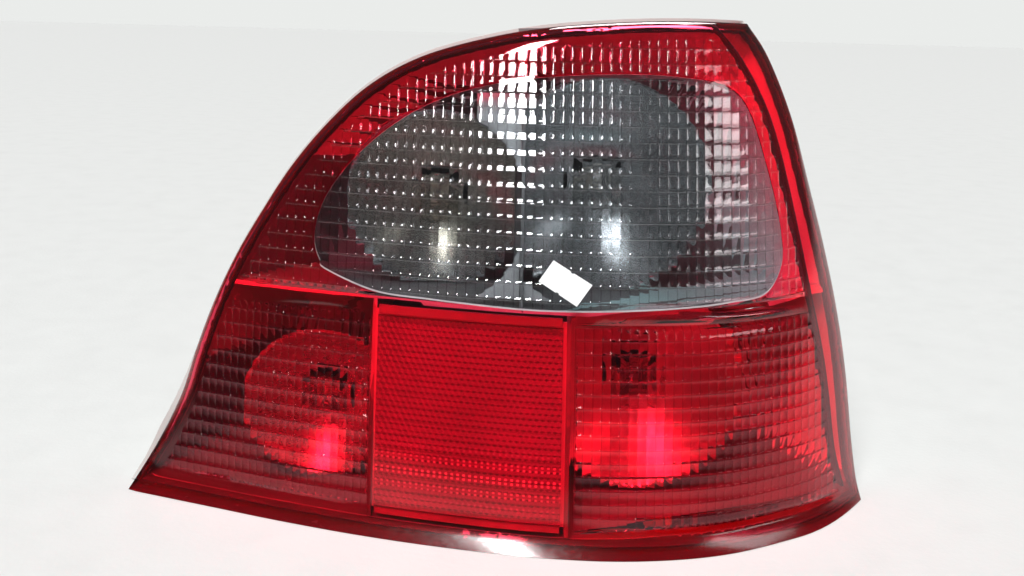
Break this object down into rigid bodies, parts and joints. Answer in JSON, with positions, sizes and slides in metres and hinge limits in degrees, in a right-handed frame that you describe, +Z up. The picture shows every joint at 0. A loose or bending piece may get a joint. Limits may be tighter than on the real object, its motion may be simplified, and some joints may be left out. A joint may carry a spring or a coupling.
{
  "type": "tail light cluster",
  "caption": "Rear lamp cluster with a red lens and smoked window, metallised bowls, bulbs, bulb carrier, seals and studs on a light grey housing.",
  "frame": {"origin": "centre of the bounding box on the surface that the lamp stands on", "axes": "+X across the lamp towards its tailgate side, +Y from the lens to the back, +Z up"},
  "size_m": [0.3824, 0.1694, 0.2401],
  "materials": {
    "red_lens": "moulded transparent red acrylic",
    "smoke_lens": "moulded smoked acrylic, second shot",
    "reflex_red": "red acrylic with a prism back",
    "backing": "moulded plastic",
    "housing_grey": "moulded light grey plastic",
    "metallised": "vacuum metallised plastic",
    "amber_glass": "amber lacquered bulb glass",
    "clear_glass": "clear bulb glass",
    "bulb_cap": "nickel-plated brass",
    "filament": "tungsten coil on steel wires",
    "carrier_black": "glass-filled plastic",
    "rails": "stamped brass strip",
    "seal_rubber": "soft rubber",
    "foam": "closed-cell foam",
    "zinc_steel": "zinc-plated steel",
    "paper": "white paper sticker, blank"
  },
  "bodies": {
    "root": {"lens_red": "red_lens", "lens_smoke": "smoke_lens", "reflex_reflector": "reflex_red", "reflex_backing": "backing", "housing": "housing_grey", "indicator_reflector": "metallised", "reverse_reflector": "metallised", "stop_tail_reflector": "metallised", "fog_reflector": "metallised", "indicator_bulb_glass": "amber_glass", "indicator_bulb_cap": "bulb_cap", "indicator_filament": "filament", "reverse_bulb_glass": "clear_glass", "reverse_bulb_cap": "bulb_cap", "reverse_filament": "filament", "stop_tail_bulb_glass": "clear_glass", "stop_tail_bulb_cap": "bulb_cap", "stop_tail_filament": "filament", "fog_bulb_glass": "clear_glass", "fog_bulb_cap": "bulb_cap", "fog_filament": "filament", "bulb_carrier": "carrier_black", "ground_rail": "rails", "indicator_feed_rail": "rails", "reverse_feed_rail": "rails", "stop_feed_rail": "rails", "tail_feed_rail": "rails", "fog_feed_rail": "rails", "carrier_seal": "seal_rubber", "body_gasket": "foam", "mounting_studs": "zinc_steel", "breather": "seal_rubber", "label": "paper"}
  },
  "joints": []
}
